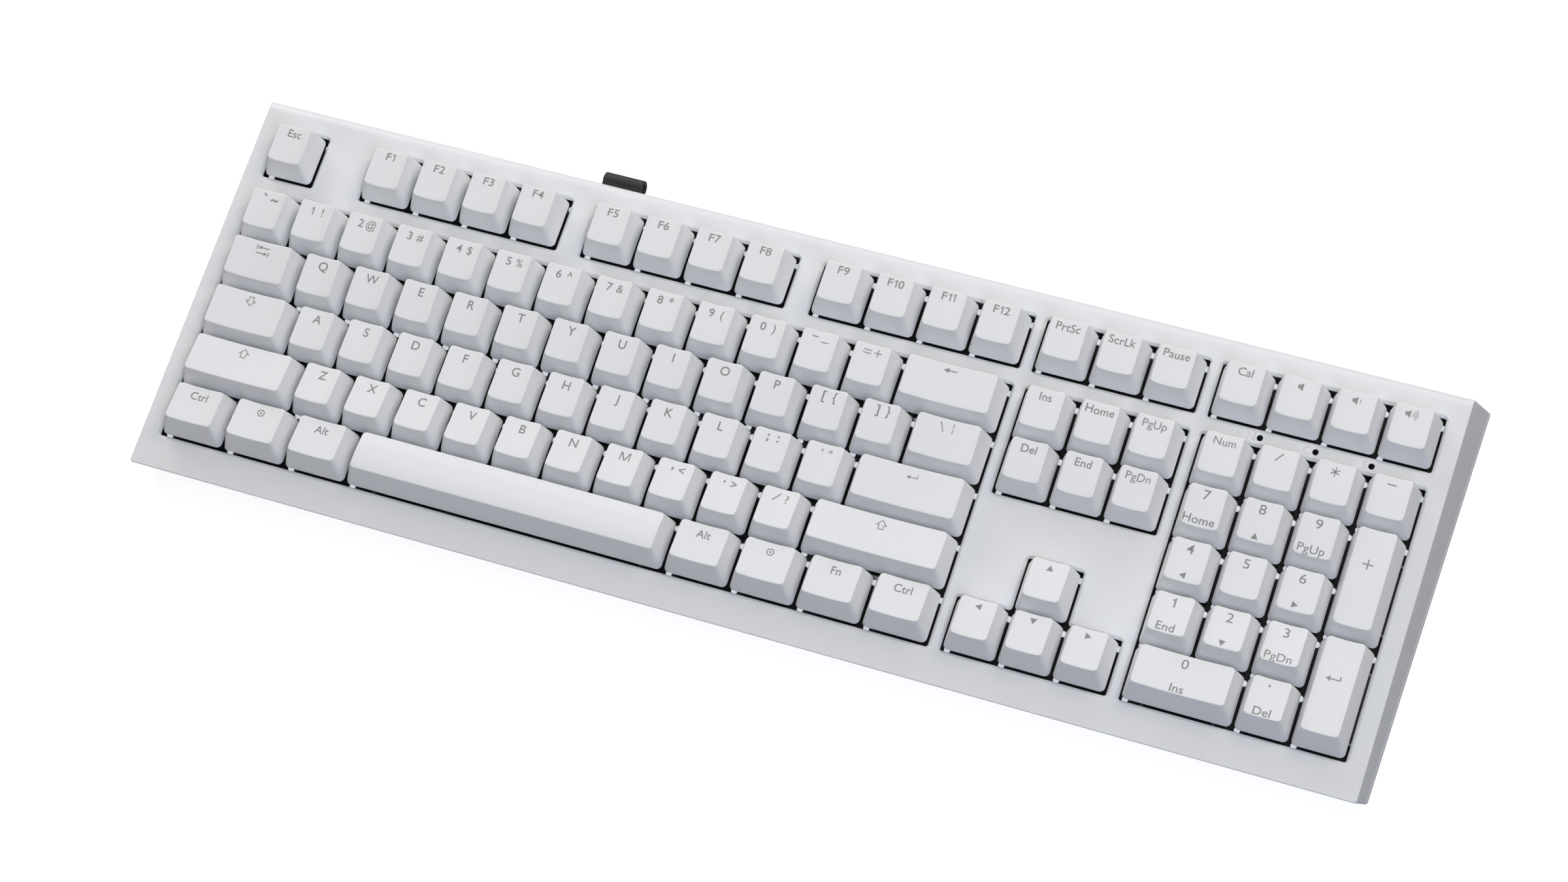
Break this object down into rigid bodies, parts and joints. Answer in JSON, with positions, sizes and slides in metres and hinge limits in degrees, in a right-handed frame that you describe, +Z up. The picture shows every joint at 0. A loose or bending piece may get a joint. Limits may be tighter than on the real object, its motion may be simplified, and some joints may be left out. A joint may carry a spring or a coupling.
{
  "type": "mechanical keyboard",
  "caption": "Full-size mechanical computer keyboard in off-white plastic with sculpted keycaps, spring switches, a wedge case and folding tilt feet.",
  "frame": {"origin": "on the surface the keyboard rests on, at the middle of its outline", "axes": "+X to the right along the key rows, +Y to the rear edge, +Z up; the key deck leans up 5.6 degrees to the rear"},
  "size_m": [0.4498, 0.1524, 0.0406],
  "materials": {
    "case_plastic": "fine-textured injection-moulded off-white plastic",
    "keycap_plastic": "fine-textured off-white keycaps with grey printed legends",
    "plate_steel": "black-painted steel switch plate",
    "board_laminate": "glass-fibre circuit board with solder mask",
    "switch_plastic": "black nylon switch and stabilizer mouldings",
    "spring_steel": "bright coil spring steel",
    "contact_metal": "thin stamped contact leaves",
    "wire_steel": "bent round steel wire",
    "chip_plastic": "moulded component packages",
    "led_lens": "clear 3 mm lamp lens",
    "socket_steel": "drawn steel socket shell",
    "screw_steel": "zinc-plated self-tapping screws",
    "foot_rubber": "dark soft rubber",
    "tag_rubber": "soft black moulded strap",
    "foot_plastic": "off-white moulded plastic"
  },
  "bodies": {
    "case": {"top_case": "case_plastic", "bottom_case": "case_plastic", "switch_plate": "plate_steel", "circuit_board": "board_laminate", "switch_bases": "switch_plastic", "switch_covers": "switch_plastic", "switch_springs": "spring_steel", "switch_contacts": "contact_metal", "stabilizer_housings": "switch_plastic", "stabilizer_wires": "wire_steel", "matrix_diodes": "chip_plastic", "controller_chip": "chip_plastic", "indicator_leds": "led_lens", "usb_socket": "socket_steel", "case_screws": "screw_steel", "plate_screws": "screw_steel", "rubber_feet": "foot_rubber", "rear_tag": "tag_rubber"},
    "foot_left": {"tilt_foot_left": "foot_plastic", "foot_pad_left": "foot_rubber"},
    "foot_right": {"tilt_foot_right": "foot_plastic", "foot_pad_right": "foot_rubber"},
    "key_esc": {"key_esc": "keycap_plastic"},
    "keys_function": {"keys_function": "keycap_plastic"},
    "keys_number_row": {"keys_number_row": "keycap_plastic"},
    "key_backspace": {"key_backspace": "keycap_plastic"},
    "key_enter": {"key_enter": "keycap_plastic"},
    "key_left_shift": {"key_left_shift": "keycap_plastic"},
    "key_right_shift": {"key_right_shift": "keycap_plastic"},
    "key_space": {"key_space": "keycap_plastic"},
    "keys_punctuation": {"keys_punctuation": "keycap_plastic"},
    "keys_modifier": {"keys_modifier": "keycap_plastic"},
    "keys_navigation": {"keys_navigation": "keycap_plastic"},
    "keys_numpad": {"keys_numpad": "keycap_plastic"},
    "key_q": {"key_q": "keycap_plastic"},
    "key_w": {"key_w": "keycap_plastic"},
    "key_e": {"key_e": "keycap_plastic"},
    "key_r": {"key_r": "keycap_plastic"},
    "key_t": {"key_t": "keycap_plastic"},
    "key_y": {"key_y": "keycap_plastic"},
    "key_u": {"key_u": "keycap_plastic"},
    "key_i": {"key_i": "keycap_plastic"},
    "key_o": {"key_o": "keycap_plastic"},
    "key_p": {"key_p": "keycap_plastic"},
    "key_a": {"key_a": "keycap_plastic"},
    "key_s": {"key_s": "keycap_plastic"},
    "key_d": {"key_d": "keycap_plastic"},
    "key_f": {"key_f": "keycap_plastic"},
    "key_g": {"key_g": "keycap_plastic"},
    "key_h": {"key_h": "keycap_plastic"},
    "key_j": {"key_j": "keycap_plastic"},
    "key_k": {"key_k": "keycap_plastic"},
    "key_l": {"key_l": "keycap_plastic"},
    "key_z": {"key_z": "keycap_plastic"},
    "key_x": {"key_x": "keycap_plastic"},
    "key_c": {"key_c": "keycap_plastic"},
    "key_v": {"key_v": "keycap_plastic"},
    "key_b": {"key_b": "keycap_plastic"},
    "key_n": {"key_n": "keycap_plastic"},
    "key_m": {"key_m": "keycap_plastic"}
  },
  "joints": [
    {"name": "foot_left_fold", "type": "hinge", "parent": "case", "child": "foot_left", "pos_m": [-0.172, 0.05329, 0.0037], "axis": [1, 0, 0], "range_deg": [0, 100], "stiffness_Nm_per_rad": 0.01, "springref_deg": -11.46},
    {"name": "foot_right_fold", "type": "hinge", "parent": "case", "child": "foot_right", "pos_m": [0.172, 0.05329, 0.0037], "axis": [1, 0, 0], "range_deg": [0, 100], "stiffness_Nm_per_rad": 0.01, "springref_deg": -11.46},
    {"name": "key_esc_press", "type": "slide", "parent": "case", "child": "key_esc", "axis": [0, 0.0976, -0.9952], "range_m": [0, 0.004], "stiffness_N_per_m": 74, "springref_m": -0.004, "deforming": ["switch_springs"]},
    {"name": "keys_function_press", "type": "slide", "parent": "case", "child": "keys_function", "axis": [0, 0.0976, -0.9952], "range_m": [0, 0.004], "stiffness_N_per_m": 888, "springref_m": -0.004, "deforming": ["switch_springs"]},
    {"name": "keys_number_row_press", "type": "slide", "parent": "case", "child": "keys_number_row", "axis": [0, 0.0976, -0.9952], "range_m": [0, 0.004], "stiffness_N_per_m": 962, "springref_m": -0.004, "deforming": ["switch_springs"]},
    {"name": "key_backspace_press", "type": "slide", "parent": "case", "child": "key_backspace", "axis": [0, 0.0976, -0.9952], "range_m": [0, 0.004], "stiffness_N_per_m": 74, "springref_m": -0.004, "deforming": ["switch_springs"]},
    {"name": "key_enter_press", "type": "slide", "parent": "case", "child": "key_enter", "axis": [0, 0.0976, -0.9952], "range_m": [0, 0.004], "stiffness_N_per_m": 74, "springref_m": -0.004, "deforming": ["switch_springs"]},
    {"name": "key_left_shift_press", "type": "slide", "parent": "case", "child": "key_left_shift", "axis": [0, 0.0976, -0.9952], "range_m": [0, 0.004], "stiffness_N_per_m": 74, "springref_m": -0.004, "deforming": ["switch_springs"]},
    {"name": "key_right_shift_press", "type": "slide", "parent": "case", "child": "key_right_shift", "axis": [0, 0.0976, -0.9952], "range_m": [0, 0.004], "stiffness_N_per_m": 74, "springref_m": -0.004, "deforming": ["switch_springs"]},
    {"name": "key_space_press", "type": "slide", "parent": "case", "child": "key_space", "axis": [0, 0.0976, -0.9952], "range_m": [0, 0.004], "stiffness_N_per_m": 74, "springref_m": -0.004, "deforming": ["switch_springs"]},
    {"name": "keys_punctuation_press", "type": "slide", "parent": "case", "child": "keys_punctuation", "axis": [0, 0.0976, -0.9952], "range_m": [0, 0.004], "stiffness_N_per_m": 592, "springref_m": -0.004, "deforming": ["switch_springs"]},
    {"name": "keys_modifier_press", "type": "slide", "parent": "case", "child": "keys_modifier", "axis": [0, 0.0976, -0.9952], "range_m": [0, 0.004], "stiffness_N_per_m": 666, "springref_m": -0.004, "deforming": ["switch_springs"]},
    {"name": "keys_navigation_press", "type": "slide", "parent": "case", "child": "keys_navigation", "axis": [0, 0.0976, -0.9952], "range_m": [0, 0.004], "stiffness_N_per_m": 962, "springref_m": -0.004, "deforming": ["switch_springs"]},
    {"name": "keys_numpad_press", "type": "slide", "parent": "case", "child": "keys_numpad", "axis": [0, 0.0976, -0.9952], "range_m": [0, 0.004], "stiffness_N_per_m": 1554, "springref_m": -0.004, "deforming": ["switch_springs"]},
    {"name": "key_q_press", "type": "slide", "parent": "case", "child": "key_q", "axis": [0, 0.0976, -0.9952], "range_m": [0, 0.004], "stiffness_N_per_m": 74, "springref_m": -0.004, "deforming": ["switch_springs"]},
    {"name": "key_w_press", "type": "slide", "parent": "case", "child": "key_w", "axis": [0, 0.0976, -0.9952], "range_m": [0, 0.004], "stiffness_N_per_m": 74, "springref_m": -0.004, "deforming": ["switch_springs"]},
    {"name": "key_e_press", "type": "slide", "parent": "case", "child": "key_e", "axis": [0, 0.0976, -0.9952], "range_m": [0, 0.004], "stiffness_N_per_m": 74, "springref_m": -0.004, "deforming": ["switch_springs"]},
    {"name": "key_r_press", "type": "slide", "parent": "case", "child": "key_r", "axis": [0, 0.0976, -0.9952], "range_m": [0, 0.004], "stiffness_N_per_m": 74, "springref_m": -0.004, "deforming": ["switch_springs"]},
    {"name": "key_t_press", "type": "slide", "parent": "case", "child": "key_t", "axis": [0, 0.0976, -0.9952], "range_m": [0, 0.004], "stiffness_N_per_m": 74, "springref_m": -0.004, "deforming": ["switch_springs"]},
    {"name": "key_y_press", "type": "slide", "parent": "case", "child": "key_y", "axis": [0, 0.0976, -0.9952], "range_m": [0, 0.004], "stiffness_N_per_m": 74, "springref_m": -0.004, "deforming": ["switch_springs"]},
    {"name": "key_u_press", "type": "slide", "parent": "case", "child": "key_u", "axis": [0, 0.0976, -0.9952], "range_m": [0, 0.004], "stiffness_N_per_m": 74, "springref_m": -0.004, "deforming": ["switch_springs"]},
    {"name": "key_i_press", "type": "slide", "parent": "case", "child": "key_i", "axis": [0, 0.0976, -0.9952], "range_m": [0, 0.004], "stiffness_N_per_m": 74, "springref_m": -0.004, "deforming": ["switch_springs"]},
    {"name": "key_o_press", "type": "slide", "parent": "case", "child": "key_o", "axis": [0, 0.0976, -0.9952], "range_m": [0, 0.004], "stiffness_N_per_m": 74, "springref_m": -0.004, "deforming": ["switch_springs"]},
    {"name": "key_p_press", "type": "slide", "parent": "case", "child": "key_p", "axis": [0, 0.0976, -0.9952], "range_m": [0, 0.004], "stiffness_N_per_m": 74, "springref_m": -0.004, "deforming": ["switch_springs"]},
    {"name": "key_a_press", "type": "slide", "parent": "case", "child": "key_a", "axis": [0, 0.0976, -0.9952], "range_m": [0, 0.004], "stiffness_N_per_m": 74, "springref_m": -0.004, "deforming": ["switch_springs"]},
    {"name": "key_s_press", "type": "slide", "parent": "case", "child": "key_s", "axis": [0, 0.0976, -0.9952], "range_m": [0, 0.004], "stiffness_N_per_m": 74, "springref_m": -0.004, "deforming": ["switch_springs"]},
    {"name": "key_d_press", "type": "slide", "parent": "case", "child": "key_d", "axis": [0, 0.0976, -0.9952], "range_m": [0, 0.004], "stiffness_N_per_m": 74, "springref_m": -0.004, "deforming": ["switch_springs"]},
    {"name": "key_f_press", "type": "slide", "parent": "case", "child": "key_f", "axis": [0, 0.0976, -0.9952], "range_m": [0, 0.004], "stiffness_N_per_m": 74, "springref_m": -0.004, "deforming": ["switch_springs"]},
    {"name": "key_g_press", "type": "slide", "parent": "case", "child": "key_g", "axis": [0, 0.0976, -0.9952], "range_m": [0, 0.004], "stiffness_N_per_m": 74, "springref_m": -0.004, "deforming": ["switch_springs"]},
    {"name": "key_h_press", "type": "slide", "parent": "case", "child": "key_h", "axis": [0, 0.0976, -0.9952], "range_m": [0, 0.004], "stiffness_N_per_m": 74, "springref_m": -0.004, "deforming": ["switch_springs"]},
    {"name": "key_j_press", "type": "slide", "parent": "case", "child": "key_j", "axis": [0, 0.0976, -0.9952], "range_m": [0, 0.004], "stiffness_N_per_m": 74, "springref_m": -0.004, "deforming": ["switch_springs"]},
    {"name": "key_k_press", "type": "slide", "parent": "case", "child": "key_k", "axis": [0, 0.0976, -0.9952], "range_m": [0, 0.004], "stiffness_N_per_m": 74, "springref_m": -0.004, "deforming": ["switch_springs"]},
    {"name": "key_l_press", "type": "slide", "parent": "case", "child": "key_l", "axis": [0, 0.0976, -0.9952], "range_m": [0, 0.004], "stiffness_N_per_m": 74, "springref_m": -0.004, "deforming": ["switch_springs"]},
    {"name": "key_z_press", "type": "slide", "parent": "case", "child": "key_z", "axis": [0, 0.0976, -0.9952], "range_m": [0, 0.004], "stiffness_N_per_m": 74, "springref_m": -0.004, "deforming": ["switch_springs"]},
    {"name": "key_x_press", "type": "slide", "parent": "case", "child": "key_x", "axis": [0, 0.0976, -0.9952], "range_m": [0, 0.004], "stiffness_N_per_m": 74, "springref_m": -0.004, "deforming": ["switch_springs"]},
    {"name": "key_c_press", "type": "slide", "parent": "case", "child": "key_c", "axis": [0, 0.0976, -0.9952], "range_m": [0, 0.004], "stiffness_N_per_m": 74, "springref_m": -0.004, "deforming": ["switch_springs"]},
    {"name": "key_v_press", "type": "slide", "parent": "case", "child": "key_v", "axis": [0, 0.0976, -0.9952], "range_m": [0, 0.004], "stiffness_N_per_m": 74, "springref_m": -0.004, "deforming": ["switch_springs"]},
    {"name": "key_b_press", "type": "slide", "parent": "case", "child": "key_b", "axis": [0, 0.0976, -0.9952], "range_m": [0, 0.004], "stiffness_N_per_m": 74, "springref_m": -0.004, "deforming": ["switch_springs"]},
    {"name": "key_n_press", "type": "slide", "parent": "case", "child": "key_n", "axis": [0, 0.0976, -0.9952], "range_m": [0, 0.004], "stiffness_N_per_m": 74, "springref_m": -0.004, "deforming": ["switch_springs"]},
    {"name": "key_m_press", "type": "slide", "parent": "case", "child": "key_m", "axis": [0, 0.0976, -0.9952], "range_m": [0, 0.004], "stiffness_N_per_m": 74, "springref_m": -0.004, "deforming": ["switch_springs"]}
  ]
}
